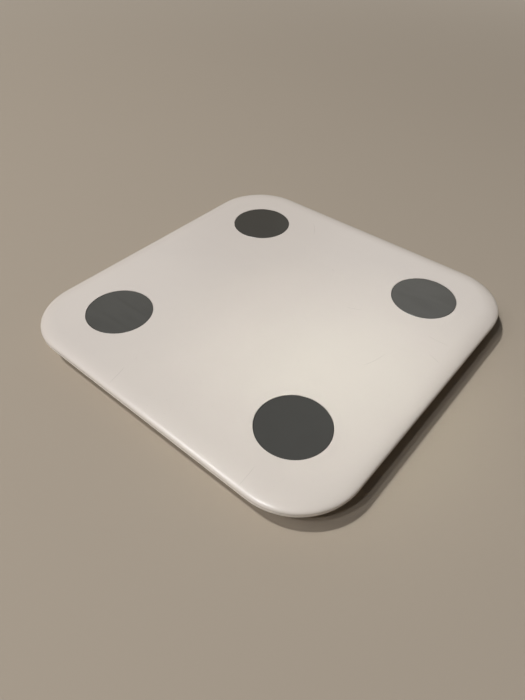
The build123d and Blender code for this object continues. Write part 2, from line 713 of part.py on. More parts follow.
def battery(index):
    """One AAA cell, with a small chamfer at its flat end and a nipple at the other."""
    shoulder = AAA_L - AAA_NIPPLE_H
    profile = section(
        *outline(
            (0, 0),
            (AAA_R - AAA_FOOT_BEVEL, 0),
            (AAA_R, AAA_FOOT_BEVEL),
            (AAA_R, shoulder - AAA_NECK_DROP),
            (AAA_R - AAA_NECK_IN, shoulder),
            (AAA_NIPPLE_R, shoulder),
            (AAA_NIPPLE_R, AAA_L),
            (0, AAA_L),
        )
    )
    way = battery_way(index)
    cell = Pos(0, 0, -AAA_L / 2) * revolve(profile, Axis.Z)
    shift = way * (SPRING_ROOM - PLATE_ROOM) / 2
    return Pos(shift, battery_y(index), AAA_Z) * Rot(0, 90 * way, 0) * cell


def contact_strip(indices, end, tab=False):
    """Nickel strip behind one or two cells: a bowed leaf at a flat end, a dimple at a nipple."""
    wall = BAY_X / 2
    low, high = AAA_Z - STRIP_HALF, AAA_Z + STRIP_HALF
    rows = [battery_y(index) for index in indices]
    strip = box_between((wall - STRIP_T, rows[0] - STRIP_HALF, low), (wall, rows[-1] + STRIP_HALF, high))
    for index in indices:
        y = battery_y(index)
        if battery_way(index) == end:
            height = PLATE_ROOM - STRIP_T
            strip += Pos(wall - STRIP_T - height / 2, y, AAA_Z) * Rot(0, 90, 0) * Cylinder(DIMPLE_R, height)
        else:
            foot_u = wall - STRIP_T / 2
            crest_u = wall - SPRING_ROOM + STRIP_T / 2
            bow = ThreePointArc((foot_u, low + STRIP_T), (crest_u, AAA_Z), (foot_u, high - STRIP_T))
            strip += Pos(0, y + LEAF_W / 2) * extrude(Plane.XZ * trace(bow, STRIP_T), LEAF_W)
    if tab:
        length = STRIP_T + BAY_WALL + TAB_OUT
        middle = (wall - STRIP_T + length / 2, rows[0])
        strip += block(middle, (length, TAB_W), THIN_LEAD_Z - STRIP_T / 2, THIN_LEAD_Z + STRIP_T / 2)
    return strip if end > 0 else mirror(strip, Plane.YZ)


# ---------------------------------------------------------------- boards and display


def drilled_board(width, depth, at_y, z_low):
    """A circuit board with a hole at each of its fixings."""
    top_face = z_low + BOARD_T
    board = slab((width, depth), BOARD_CORNER_R, z_low, top_face, (0, at_y))
    hole_r = BOARD_SCREW_R + HOLE_CLEAR
    return board - [disc(hole_r, 0, HEIGHT, at) for at, top, _ in board_fixings() if top == top_face]


def board_chips():
    """Controller, converter, radio module and crystal under the main board."""
    return group([block(at, size, BOARD_Z - height, BOARD_Z) for at, size, height in CHIPS.values()])


def lead_sockets():
    """Sockets under the main board for the load cells, the electrodes, the batteries and the ribbon."""
    rear_y = BOARD_EDGE - SOCKET_SET - SOCKET_DEPTH / 2
    front_y = 2 * BOARD_AT - rear_y
    side_x = (BOARD_X - SOCKET_DEPTH) / 2 - SOCKET_SET
    size = (SOCKET_W, SOCKET_DEPTH)
    sockets = [block((BATTERY_SOCKET_X, rear_y), size, SOCKET_Z, BOARD_Z)]
    for sign in (-1, 1):
        sockets.append(block((sign * CELL_SOCKET_X, rear_y), size, SOCKET_Z, BOARD_Z))
        sockets.append(block((sign * FRONT_SOCKET_X, front_y), size, SOCKET_Z, BOARD_Z))
        for y in SIDE_SOCKET_Y.values():
            sockets.append(block((sign * side_x, y), (SOCKET_DEPTH, SOCKET_W), SOCKET_Z, BOARD_Z))
    ribbon_size = (RIBBON_SOCKET_W, SOCKET_DEPTH)
    sockets.append(block((RIBBON_X, rear_y), ribbon_size, RIBBON_SOCKET_Z, BOARD_Z))
    return group(sockets)


def ribbon_ends():
    """Where the ribbon leaves the main board's socket and meets the display board's."""
    return BOARD_EDGE - SOCKET_SET, DISPLAY_AT - DISPLAY_Y / 2 + SOCKET_SET


def ribbon_socket():
    """Socket under the display board."""
    start = ribbon_ends()[1]
    size = (RIBBON_SOCKET_W, RIBBON_SOCKET_DEPTH)
    return block((RIBBON_X, start + RIBBON_SOCKET_DEPTH / 2), size, RIBBON_SOCKET_Z, DISPLAY_Z)


def display_ribbon():
    """Flat ribbon that runs beside the battery bay."""
    start, end = ribbon_ends()
    low = RIBBON_Z - RIBBON_T / 2
    return block((RIBBON_X, (start + end) / 2), (RIBBON_W, end - start), low, low + RIBBON_T)


def digit_bars():
    """(x, y, width, depth) of every bar of the digits, and of the decimal point."""
    bars = []
    for index in range(DIGIT_COUNT):
        x = (index - (DIGIT_COUNT - 1) / 2) * DIGIT_PITCH
        for step in (-1, 0, 1):
            bars.append((x, DISPLAY_AT + step * DIGIT_H / 2, DIGIT_W - BAR_GAP, BAR_W))
        for side in (-1, 1):
            for half in (-1, 1):
                at_y = DISPLAY_AT + half * DIGIT_H / 4
                bars.append((x + side * DIGIT_W / 2, at_y, BAR_W, DIGIT_H / 2 - BAR_GAP))
    bars.append((DIGIT_PITCH, DISPLAY_AT - DIGIT_H / 2, BAR_W, BAR_W))
    return bars


def display_reflector():
    """Light box on the display board: one well for each bar."""
    low, high = DISPLAY_TOP, GLASS_Z - FILM_T
    light_box = slab((LIGHT_BOX_X, LIGHT_BOX_Y), LIGHT_BOX_CORNER_R, low, high, (0, DISPLAY_AT))
    return light_box - [block((x, y), (w, d), low - CUT, high + CUT) for x, y, w, d in digit_bars()]


def display_leds():
    """One small lamp in each well of the light box."""
    high = DISPLAY_TOP + LAMP_H
    return group([block((x, y), LAMP, DISPLAY_TOP, high) for x, y, _, _ in digit_bars()])


def display_film():
    """Diffusing film between the light box and the glass."""
    size = (LIGHT_BOX_X, LIGHT_BOX_Y)
    return slab(size, LIGHT_BOX_CORNER_R, GLASS_Z - FILM_T, GLASS_Z, (0, DISPLAY_AT))


# ---------------------------------------------------------------- contacts and leads


def electrode_contacts():
    """Sprung bronze strips that press up on the electrodes' studs, each staked to the frame."""
    half = CONTACT_T / 2
    touch = STUD_END_Z - half
    line = Polyline(
        (CONTACT_END, THIN_LEAD_Z),
        (CONTACT_END + CONTACT_FLAT, THIN_LEAD_Z),
        (STUD_AT - CONTACT_TIP, touch),
        (STUD_AT + CONTACT_TIP, touch),
    )
    strip = extrude(Plane.XZ * trace(line, CONTACT_T), CONTACT_W)
    return group(in_all_corners(Pos(0, STUD_AT + CONTACT_W / 2) * strip))


def lead(points, z, radius):
    """A round lead along straight runs joined by arcs as large as the runs allow."""
    corners = [(x, y, z) for x, y in points]
    runs = [Vector(*b) - Vector(*a) for a, b in zip(corners, corners[1:])]
    arcs = []
    for before, after in zip(runs, runs[1:]):
        half_turn = radians(before.get_angle(after) / 2)
        arcs.append(ARC_SHARE * min(before.length, after.length) / tan(half_turn))
    print("lead arcs, mm:", [round(arc, 1) for arc in arcs])
    path = FilletPolyline(*corners, radius=arcs)
    start = Plane(origin=path @ 0, z_dir=path % 0)
    return sweep(start * Circle(radius), path=path)


def both_sides(points, z, radius):
    """The same lead on the right and, mirrored, on the left."""
    right = lead(points, z, radius)
    return [right, mirror(right, Plane.YZ)]


def load_cell_leads():
    """One lead from the side of each load cell to its socket."""
    start_x = FOOT_AT - CELL_SIDE / 2
    rear_end = BOARD_EDGE - SOCKET_SET
    front_end = BOARD_AT - BOARD_Y / 2 + SOCKET_SET
    rear = [
        (start_x, FOOT_AT),
        (66, FOOT_AT),
        (57, 86),
        (CELL_SOCKET_X, -38),
        (CELL_SOCKET_X, rear_end),
    ]
    front = [
        (start_x, -FOOT_AT),
        (FRONT_SOCKET_X + 9, -FOOT_AT),
        (FRONT_SOCKET_X, front_end - 9),
        (FRONT_SOCKET_X, front_end),
    ]
    size = (CELL_LEAD_Z, CELL_LEAD_R)
    return group(both_sides(rear, *size) + both_sides(front, *size))


def electrode_leads():
    """One thin lead from each sprung contact to the main board's side sockets."""
    end_x = BOARD_X / 2 - SOCKET_SET
    rear_y, front_y = SIDE_SOCKET_Y["rear"], SIDE_SOCKET_Y["front"]
    rear = [
        (CONTACT_END, STUD_AT),
        (61, STUD_AT),
        (59, STUD_AT - 3),
        (59, -50),
        (54, rear_y),
        (end_x, rear_y),
    ]
    front = [(CONTACT_END, -STUD_AT), (58, -STUD_AT), (53, front_y), (end_x, front_y)]
    size = (THIN_LEAD_Z, THIN_LEAD_R)
    return group(both_sides(rear, *size) + both_sides(front, *size))


def battery_leads():
    """Two thin leads from the solder tabs to the battery socket."""
    tab_x = BAY_X / 2 + BAY_WALL + TAB_LAP
    tab_side = -TAB_W / 2
    end = BOARD_EDGE - SOCKET_SET
    near_x, far_x = BATTERY_SOCKET_X - BATTERY_PIN, BATTERY_SOCKET_X + BATTERY_PIN
    positive_y = battery_y(0) + tab_side
    negative_y = battery_y(AAA_COUNT - 1) + tab_side
    positive = [(tab_x, positive_y), (tab_x, positive_y - 7), (near_x, -39), (near_x, end)]
    negative = [
        (tab_x, negative_y),
        (tab_x, negative_y - 7),
        (31, -2),
        (31, -26),
        (far_x, -41),
        (far_x, end),
    ]
    return group([lead(route, THIN_LEAD_Z, THIN_LEAD_R) for route in (positive, negative)])


# ---------------------------------------------------------------- write every sub-part

LINKS = (((0, 1), -1), ((2, 3), -1), ((1, 2), 1))  # cells that each link joins, and its end of the bay

single_parts = {
    "top_glass": top_glass(),
    "glass_tape": glass_tape(),
    "top_frame": top_frame(),
    "bottom_housing": bottom_housing(),
    "battery_door": battery_door(),
    "battery_link_strips": group([contact_strip(*link) for link in LINKS]),
    "positive_contact": contact_strip((0,), 1, tab=True),
    "negative_contact": contact_strip((AAA_COUNT - 1,), 1, tab=True),
    "main_board": drilled_board(BOARD_X, BOARD_Y, BOARD_AT, BOARD_Z),
    "board_chips": board_chips(),
    "lead_sockets": lead_sockets(),
    "display_board": drilled_board(DISPLAY_X, DISPLAY_Y, DISPLAY_AT, DISPLAY_Z),
    "display_reflector": display_reflector(),
    "display_leds": display_leds(),
    "display_film": display_film(),
    "display_ribbon": display_ribbon(),
    "ribbon_socket": ribbon_socket(),
    "electrode_contacts": electrode_contacts(),
    "load_cell_leads": load_cell_leads(),
    "electrode_leads": electrode_leads(),
    "battery_leads": battery_leads(),
    "housing_screws": housing_screws(),
    "bracket_screws": bracket_screws(),
    "board_screws": board_screws(),
}
for name, shape in single_parts.items():
    save(name, shape)

for index in range(AAA_COUNT):
    save(f"battery_{index + 1}", battery(index))

corner_parts = {
    "electrode": electrode(),
    "foot": foot(),
    "foot_pad": foot_pad(),
    "load_cell": load_cell(),
    "gauge_sealant": gauge_sealant(),
    "cell_bracket": cell_bracket(),
}
for name, shape in corner_parts.items():
    for corner, signs in CORNERS.items():
        save(f"{name}_{corner}", in_corner(shape, signs))
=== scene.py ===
import bmesh
import bpy
import json
import math
from mathutils import Matrix, Vector


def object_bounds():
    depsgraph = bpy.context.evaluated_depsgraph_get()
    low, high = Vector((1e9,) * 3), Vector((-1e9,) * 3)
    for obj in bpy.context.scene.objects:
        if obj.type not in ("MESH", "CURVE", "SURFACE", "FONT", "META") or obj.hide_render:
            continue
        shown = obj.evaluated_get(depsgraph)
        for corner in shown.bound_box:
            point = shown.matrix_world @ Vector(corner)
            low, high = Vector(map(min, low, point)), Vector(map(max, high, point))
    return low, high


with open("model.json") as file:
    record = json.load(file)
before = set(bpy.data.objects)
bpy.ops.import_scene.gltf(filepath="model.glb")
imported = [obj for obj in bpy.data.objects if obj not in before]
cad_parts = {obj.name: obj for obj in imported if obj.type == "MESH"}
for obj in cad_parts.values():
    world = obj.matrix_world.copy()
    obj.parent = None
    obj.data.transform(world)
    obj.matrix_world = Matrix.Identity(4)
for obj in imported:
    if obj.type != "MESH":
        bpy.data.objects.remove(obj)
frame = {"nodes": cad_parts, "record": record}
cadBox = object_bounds()
topZ = cadBox[1].z


# small helpers

def addNode(tree, kind, settings=None, inputs=None):
    # a socket given as an input is linked, anything else is its value
    node = tree.nodes.new(kind)
    for name, value in (settings or {}).items():
        setattr(node, name, value)
    for name, value in (inputs or {}).items():
        if isinstance(value, bpy.types.NodeSocket):
            tree.links.new(value, node.inputs[name])
        else:
            node.inputs[name].default_value = value
    return node


def mathNode(tree, operation, *values, clamp=False):
    inputs = dict(enumerate(values))
    return addNode(tree, "ShaderNodeMath", {"operation": operation, "use_clamp": clamp}, inputs).outputs[0]


def mapRange(tree, value, fromLow, fromHigh, toLow=0.0, toHigh=1.0, smooth=False):
    settings = {"interpolation_type": "SMOOTHSTEP" if smooth else "LINEAR"}
    inputs = {"Value": value, "From Min": fromLow, "From Max": fromHigh, "To Min": toLow, "To Max": toHigh}
    return addNode(tree, "ShaderNodeMapRange", settings, inputs).outputs["Result"]


def mixColours(tree, mask, first, second):
    node = addNode(tree, "ShaderNodeMix", {"data_type": "RGBA"})
    for socket, value in ((node.inputs["Factor"], mask), (node.inputs[6], first), (node.inputs[7], second)):
        if isinstance(value, bpy.types.NodeSocket):
            tree.links.new(value, socket)
        else:
            socket.default_value = value if isinstance(value, float) else (*value, 1.0)
    return node.outputs[2]


def objectPlace(tree):
    # metres, in the frame that every piece shares
    return addNode(tree, "ShaderNodeTexCoord").outputs["Object"]


def newGroup(name, inputs, outputs):
    group = bpy.data.node_groups.new(name, "ShaderNodeTree")
    kind = "NodeSocketFloat"
    for label, value in inputs.items():
        socket = group.interface.new_socket(label, in_out="INPUT", socket_type=kind)
        socket.default_value = value
    for label in outputs:
        group.interface.new_socket(label, in_out="OUTPUT", socket_type=kind)
    given = group.nodes.new("NodeGroupInput").outputs
    put = group.nodes.new("NodeGroupOutput").inputs
    return group, given, put


def useGroup(tree, group, **values):
    node = addNode(tree, "ShaderNodeGroup", {"node_tree": group})
    for name, value in values.items():
        node.inputs[name.capitalize()].default_value = value
    return node.outputs


# effects shared by several finishes, as node groups

def makeGrain():
    # fine moulded or blasted texture, with a slower waviness under it
    group, given, put = newGroup("moulded grain", {"Scale": 3000.0, "Wave": 60.0}, ["Height", "Mask"])
    place = objectPlace(group)
    fineInputs = {"Vector": place, "Scale": given["Scale"], "Detail": 3.0}
    fine = addNode(group, "ShaderNodeTexNoise", None, fineInputs).outputs["Fac"]
    cellInputs = {"Vector": place, "Scale": given["Scale"]}
    cells = addNode(group, "ShaderNodeTexVoronoi", {"feature": "SMOOTH_F1"}, cellInputs).outputs["Distance"]
    waveInputs = {"Vector": place, "Scale": given["Wave"], "Detail": 1.0}
    wave = addNode(group, "ShaderNodeTexNoise", None, waveInputs).outputs["Fac"]
    rough = mathNode(group, "ADD", fine, mathNode(group, "MULTIPLY", cells, 0.6))
    height = mathNode(group, "ADD", rough, mathNode(group, "MULTIPLY", wave, 1.5))
    group.links.new(height, put["Height"])
    group.links.new(mapRange(group, fine, 0.35, 0.65), put["Mask"])
    return group


def makePatches():
    # broad soft patches: uneven colour, and streaks left by wiping
    group, given, put = newGroup("soft patches", {"Scale": 9.0, "Contrast": 1.0}, ["Mask", "Streaks"])
    place = objectPlace(group)
    broadInputs = {"Vector": place, "Scale": given["Scale"], "Detail": 4.0, "Distortion": 0.8}
    broad = addNode(group, "ShaderNodeTexNoise", None, broadInputs).outputs["Fac"]
    strength = mathNode(group, "MULTIPLY", given["Contrast"], 3.0)
    spread = mathNode(group, "MULTIPLY", mathNode(group, "SUBTRACT", broad, 0.5), strength)
    group.links.new(mathNode(group, "ADD", spread, 0.5, clamp=True), put["Mask"])
    turn = {"Vector": place, "Rotation": (0.0, 0.0, 0.6), "Scale": (1.0, 6.0, 1.0)}
    turned = addNode(group, "ShaderNodeMapping", None, turn).outputs["Vector"]
    wipedInputs = {"Vector": turned, "Scale": given["Scale"], "Detail": 6.0}
    wiped = addNode(group, "ShaderNodeTexNoise", None, wipedInputs).outputs["Fac"]
    group.links.new(mapRange(group, wiped, 0.42, 0.7, smooth=True), put["Streaks"])
    return group


edgeAngles = (0.995, 0.86)  # cosines of about 6 degrees, where wear begins, and 31, where it is full


def makeEdgeWear():
    # rubbed edges: where the rounded normal leaves the flat one
    group, given, put = newGroup("edge wear", {"Width": 0.0006, "Scale": 350.0, "Amount": 1.0}, ["Mask"])
    rounded = addNode(group, "ShaderNodeBevel", {"samples": 4}, {"Radius": given["Width"]}).outputs["Normal"]
    flat = addNode(group, "ShaderNodeNewGeometry").outputs["Normal"]
    both = addNode(group, "ShaderNodeVectorMath", {"operation": "DOT_PRODUCT"}, {0: rounded, 1: flat})
    edge = mapRange(group, both.outputs["Value"], *edgeAngles)
    chipInputs = {"Vector": objectPlace(group), "Scale": given["Scale"], "Detail": 5.0}
    chips = addNode(group, "ShaderNodeTexNoise", None, chipInputs).outputs["Fac"]
    broken = mathNode(group, "MULTIPLY", edge, mapRange(group, chips, 0.35, 0.6))
    group.links.new(mathNode(group, "MULTIPLY", broken, given["Amount"], clamp=True), put["Mask"])
    return group


scratchLook = {
    "bow": 9.0,  # the higher, the more a scratch curves
    "taper": 0.6,  # share of its length before it fades
    "chosen": (0.55, 0.85),  # only the luckier cells have one
}


def makeScratches():
    # a few short scratches, one to a cell, each turned its own way and a little bowed
    values = {"Scale": 20.0, "Length": 0.007, "Width": 0.0002, "Amount": 1.0}
    group, given, put = newGroup("short scratches", values, ["Mask"])
    place = objectPlace(group)
    cellInputs = {"Vector": place, "Scale": given["Scale"]}
    cell = addNode(group, "ShaderNodeTexVoronoi", {"voronoi_dimensions": "2D"}, cellInputs).outputs
    luck = addNode(group, "ShaderNodeSeparateColor", None, {0: cell["Color"]}).outputs
    apart = {0: place, 1: cell["Position"]}
    local = addNode(group, "ShaderNodeVectorMath", {"operation": "SUBTRACT"}, apart).outputs["Vector"]
    turn = {"Vector": local, "Angle": mathNode(group, "MULTIPLY", luck["Red"], math.pi)}
    turned = addNode(group, "ShaderNodeVectorRotate", {"rotation_type": "Z_AXIS"}, turn).outputs["Vector"]
    axes = addNode(group, "ShaderNodeSeparateXYZ", None, {0: turned}).outputs
    bow = mathNode(group, "MULTIPLY", mathNode(group, "POWER", axes["X"], 2.0), scratchLook["bow"])
    aside = mathNode(group, "ABSOLUTE", mathNode(group, "ADD", axes["Y"], bow))
    reach = mathNode(group, "MULTIPLY", given["Length"], luck["Green"])
    taper = mathNode(group, "MULTIPLY", reach, scratchLook["taper"])
    along = mapRange(group, mathNode(group, "ABSOLUTE", axes["X"]), taper, reach, 1.0, 0.0)
    across = mapRange(group, aside, 0.0, given["Width"], 1.0, 0.0)
    lucky = mapRange(group, luck["Blue"], *scratchLook["chosen"])
    chosen = mathNode(group, "MULTIPLY", lucky, given["Amount"])
    line = mathNode(group, "MULTIPLY", along, across)
    group.links.new(mathNode(group, "MULTIPLY", line, chosen, clamp=True), put["Mask"])
    return group


dustLook = {
    "colour": (0.42, 0.39, 0.35),
    "speck": (0.12, 0.05),  # outer and inner edge of a speck, as shares of its cell
    "cloudScale": 24.0,  # where specks gather
    "cloud": (0.5, 0.66),
    "facing": (0.5, 0.95),  # from sloping to level faces
}


def makeDust():
    # specks that settle on faces that look up
    group, given, put = newGroup("settled dust", {"Scale": 500.0, "Amount": 1.0}, ["Mask"])
    coordinates = addNode(group, "ShaderNodeTexCoord").outputs
    speckInputs = {"Vector": coordinates["Object"], "Scale": given["Scale"]}
    specks = addNode(group, "ShaderNodeTexVoronoi", None, speckInputs).outputs["Distance"]
    cloudInputs = {"Vector": coordinates["Object"], "Scale": dustLook["cloudScale"], "Detail": 3.0}
    clouds = addNode(group, "ShaderNodeTexNoise", None, cloudInputs).outputs["Fac"]
    up = addNode(group, "ShaderNodeSeparateXYZ", None, {0: coordinates["Normal"]}).outputs["Z"]
    spots = mapRange(group, specks, *dustLook["speck"])
    spots = mathNode(group, "MULTIPLY", spots, mapRange(group, clouds, *dustLook["cloud"]))
    level = mathNode(group, "MULTIPLY", mapRange(group, up, *dustLook["facing"]), given["Amount"])
    group.links.new(mathNode(group, "MULTIPLY", spots, level, clamp=True), put["Mask"])
    return group


grain = makeGrain()
patches = makePatches()
edgeWear = makeEdgeWear()
scratches = makeScratches()
dust = makeDust()
print("effects ready:", len(bpy.data.node_groups), "groups")


# finishes, one for each material slot of the record

def newFinish(name):
    finish = bpy.data.materials.new(name)
    finish.use_nodes = True
    tree = finish.node_tree
    return finish, tree, tree.nodes["Principled BSDF"]


def soften(tree, radius):
    # rounds sharp edges in the shading
    return addNode(tree, "ShaderNodeBevel", {"samples": 4}, {"Radius": radius}).outputs["Normal"]


def bump(tree, height, distance, strength=1.0, normal=None):
    inputs = {"Height": height, "Distance": distance, "Strength": strength}
    if normal is not None:
        inputs["Normal"] = normal
    return addNode(tree, "ShaderNodeBump", None, inputs).outputs["Normal"]


plasticLooks = {
    # top frame, bottom housing and battery door
    "white_abs": {
        "colour": (0.80, 0.745, 0.675), "shade": (0.765, 0.71, 0.64), "worn": (0.66, 0.61, 0.55),
        "rough": (0.36, 0.50), "grain": 2600.0, "depth": 0.000018},
    # foot carriers
    "grey_abs": {
        "colour": (0.40, 0.39, 0.375), "shade": (0.355, 0.345, 0.33), "worn": (0.28, 0.27, 0.26),
        "rough": (0.42, 0.58), "grain": 2400.0, "depth": 0.00002},
    "bracket_plastic": {
        "colour": (0.62, 0.61, 0.58), "shade": (0.56, 0.55, 0.52), "worn": (0.50, 0.49, 0.46),
        "rough": (0.34, 0.46), "grain": 3200.0, "depth": 0.000012},
    "socket_white": {
        "colour": (0.74, 0.72, 0.64), "shade": (0.68, 0.655, 0.57), "worn": (0.60, 0.57, 0.49),
        "rough": (0.36, 0.5), "grain": 3600.0, "depth": 0.00001},
    "light_box_white": {
        "colour": (0.80, 0.80, 0.79), "shade": (0.75, 0.75, 0.74), "worn": (0.68, 0.68, 0.66),
        "rough": (0.5, 0.62), "grain": 3000.0, "depth": 0.000014},
    "chip_black": {
        "colour": (0.022, 0.022, 0.024), "shade": (0.034, 0.034, 0.036), "worn": (0.07, 0.07, 0.07),
        "rough": (0.48, 0.62), "grain": 5200.0, "depth": 0.00001},
    "lamp_white": {
        "colour": (0.82, 0.78, 0.60), "shade": (0.74, 0.68, 0.42), "worn": (0.80, 0.80, 0.78),
        "rough": (0.2, 0.32), "grain": 4200.0, "depth": 0.000004},
    "film_white": {
        "colour": (0.72, 0.72, 0.70), "shade": (0.68, 0.68, 0.66), "worn": (0.62, 0.62, 0.60),
        "rough": (0.3, 0.42), "grain": 5000.0, "depth": 0.000006},
}


def mouldedPlastic(name):
    look = plasticLooks[name]
    finish, tree, shader = newFinish(name)
    grainOut = useGroup(tree, grain, scale=look["grain"], wave=50.0)
    patchOut = useGroup(tree, patches, scale=14.0, contrast=0.9)
    wear = useGroup(tree, edgeWear, width=0.0005, scale=420.0, amount=0.75)["Mask"]
    specks = useGroup(tree, dust, scale=520.0, amount=0.5)["Mask"]
    colour = mixColours(tree, patchOut["Mask"], look["colour"], look["shade"])
    colour = mixColours(tree, wear, colour, look["worn"])
    colour = mixColours(tree, specks, colour, dustLook["colour"])
    normal = bump(tree, grainOut["Height"], look["depth"], 0.6, soften(tree, 0.00035))
    tree.links.new(colour, shader.inputs["Base Color"])
    rough = mapRange(tree, patchOut["Streaks"], 0.0, 1.0, *look["rough"])
    tree.links.new(rough, shader.inputs["Roughness"])
    tree.links.new(normal, shader.inputs["Normal"])
    return finish


glassLook = {
    "colour": (0.640, 0.579, 0.525),
    "shade": (0.612, 0.553, 0.505),
    "mark": (0.38, 0.34, 0.31),
    "rough": (0.52, 0.62),
    "coat": 1.0,
    "coatRough": 0.27,
    "coatIndex": 1.5,
    "scratches": {"scale": 16.0, "length": 0.012, "width": 0.0003, "amount": 0.5},
}


def coatedGlass():
    # clear glass over a white print: the print gives the colour, the coat gives the polish
    finish, tree, shader = newFinish("coated_glass")
    patchOut = useGroup(tree, patches, scale=7.0, contrast=0.8)
    specks = useGroup(tree, dust, scale=420.0, amount=0.4)["Mask"]
    grainOut = useGroup(tree, grain, scale=1500.0, wave=16.0)
    lines = useGroup(tree, scratches, **glassLook["scratches"])["Mask"]
    colour = mixColours(tree, patchOut["Mask"], glassLook["colour"], glassLook["shade"])
    colour = mixColours(tree, mathNode(tree, "MAXIMUM", lines, specks), colour, glassLook["mark"])
    rough = mapRange(tree, patchOut["Streaks"], 0.0, 1.0, *glassLook["rough"])
    rough = mathNode(tree, "ADD", rough, mathNode(tree, "MULTIPLY", lines, 0.3))
    height = mathNode(tree, "SUBTRACT", grainOut["Height"], mathNode(tree, "MULTIPLY", lines, 3.0))
    tree.links.new(colour, shader.inputs["Base Color"])
    tree.links.new(rough, shader.inputs["Roughness"])
    tree.links.new(bump(tree, height, 0.000006, 0.4, soften(tree, 0.0003)), shader.inputs["Normal"])
    shader.inputs["Coat Weight"].default_value = glassLook["coat"]
    shader.inputs["Coat Roughness"].default_value = glassLook["coatRough"]
    shader.inputs["Coat IOR"].default_value = glassLook["coatIndex"]
    return finish


metalLooks = {
    # "stretch" draws the brushing out along one axis
    "stainless_disc": {
        "colour": (0.097, 0.097, 0.092), "shade": (0.090, 0.090, 0.085), "rough": (0.28, 0.34),
        "grain": 5200.0, "stretch": (1.0, 7.0, 1.0), "depth": 0.000003},
    "zinc_steel": {
        "colour": (0.50, 0.51, 0.53), "shade": (0.40, 0.405, 0.42), "rough": (0.28, 0.46),
        "grain": 1600.0, "stretch": (1.0, 5.0, 1.0), "depth": 0.00001},
    "screw_steel": {
        "colour": (0.46, 0.46, 0.455), "shade": (0.34, 0.335, 0.32), "rough": (0.25, 0.42),
        "grain": 2600.0, "stretch": (1.0, 1.0, 1.0), "depth": 0.000008},
    "nickel_strip": {
        "colour": (0.60, 0.58, 0.54), "shade": (0.50, 0.48, 0.43), "rough": (0.16, 0.32),
        "grain": 2400.0, "stretch": (1.0, 14.0, 1.0), "depth": 0.000006},
    "bronze_strip": {
        "colour": (0.56, 0.36, 0.19), "shade": (0.42, 0.25, 0.12), "rough": (0.24, 0.4),
        "grain": 2400.0, "stretch": (14.0, 1.0, 1.0), "depth": 0.000006},
}


def satinMetal(name):
    look = metalLooks[name]
    finish, tree, shader = newFinish(name)
    shader.inputs["Metallic"].default_value = 1.0
    drawn = {"Vector": objectPlace(tree), "Rotation": (0.0, 0.0, 0.35), "Scale": look["stretch"]}
    drawnPlace = addNode(tree, "ShaderNodeMapping", None, drawn).outputs["Vector"]
    brushInputs = {"Vector": drawnPlace, "Scale": look["grain"] / 4, "Detail": 4.0}
    brushed = addNode(tree, "ShaderNodeTexNoise", None, brushInputs).outputs["Fac"]
    patchOut = useGroup(tree, patches, scale=30.0, contrast=0.9)
    grainOut = useGroup(tree, grain, scale=look["grain"], wave=120.0)
    lines = useGroup(tree, scratches, scale=90.0, length=0.004, width=0.00012, amount=0.8)["Mask"]
    broad = mathNode(tree, "MULTIPLY", patchOut["Mask"], 0.5)
    tone = mathNode(tree, "ADD", broad, mathNode(tree, "MULTIPLY", brushed, 0.5))
    streaks = mathNode(tree, "MULTIPLY", patchOut["Streaks"], 0.6)
    uneven = mathNode(tree, "ADD", streaks, mathNode(tree, "MULTIPLY", lines, 0.4))
    height = mathNode(tree, "ADD", brushed, mathNode(tree, "MULTIPLY", grainOut["Height"], 0.4))
    tree.links.new(mixColours(tree, tone, look["colour"], look["shade"]), shader.inputs["Base Color"])
    tree.links.new(mapRange(tree, uneven, 0.0, 1.0, *look["rough"]), shader.inputs["Roughness"])
    tree.links.new(bump(tree, height, look["depth"], 0.5, soften(tree, 0.0002)), shader.inputs["Normal"])
    return finish


rubberLooks = {
    "foot_rubber": {
        "colour": (0.052, 0.052, 0.053), "dust": (0.20, 0.19, 0.17),
        "rough": (0.7, 0.9), "grain": 1500.0, "depth": 0.00005},
    "foam_tape": {
        "colour": (0.03, 0.03, 0.032), "dust": (0.07, 0.07, 0.07),
        "rough": (0.8, 0.95), "grain": 1100.0, "depth": 0.00008},
    "white_silicone": {
        "colour": (0.72, 0.72, 0.70), "dust": (0.6, 0.58, 0.53),
        "rough": (0.35, 0.55), "grain": 700.0, "depth": 0.00004},
}


def softRubber(name):
    look = rubberLooks[name]
    finish, tree, shader = newFinish(name)
    grainOut = useGroup(tree, grain, scale=look["grain"], wave=90.0)
    patchOut = useGroup(tree, patches, scale=40.0, contrast=1.0)
    wear = useGroup(tree, edgeWear, width=0.0008, scale=300.0, amount=0.8)["Mask"]
    dusty = mathNode(tree, "MAXIMUM", mathNode(tree, "MULTIPLY", patchOut["Mask"], 0.3), wear)
    normal = bump(tree, grainOut["Height"], look["depth"], 0.7, soften(tree, 0.0003))
    tree.links.new(mixColours(tree, dusty, look["colour"], look["dust"]), shader.inputs["Base Color"])
    tree.links.new(mapRange(tree, grainOut["Mask"], 0.0, 1.0, *look["rough"]), shader.inputs["Roughness"])
    tree.links.new(normal, shader.inputs["Normal"])
    return finish


leadLooks = {
    "lead_white": {"colour": (0.70, 0.69, 0.66), "shade": (0.58, 0.56, 0.52), "rough": (0.28, 0.45)},
    "lead_black": {"colour": (0.02, 0.02, 0.021), "shade": (0.05, 0.05, 0.05), "rough": (0.28, 0.45)},
    "lead_red": {"colour": (0.46, 0.022, 0.015), "shade": (0.30, 0.012, 0.01), "rough": (0.28, 0.45)},
}


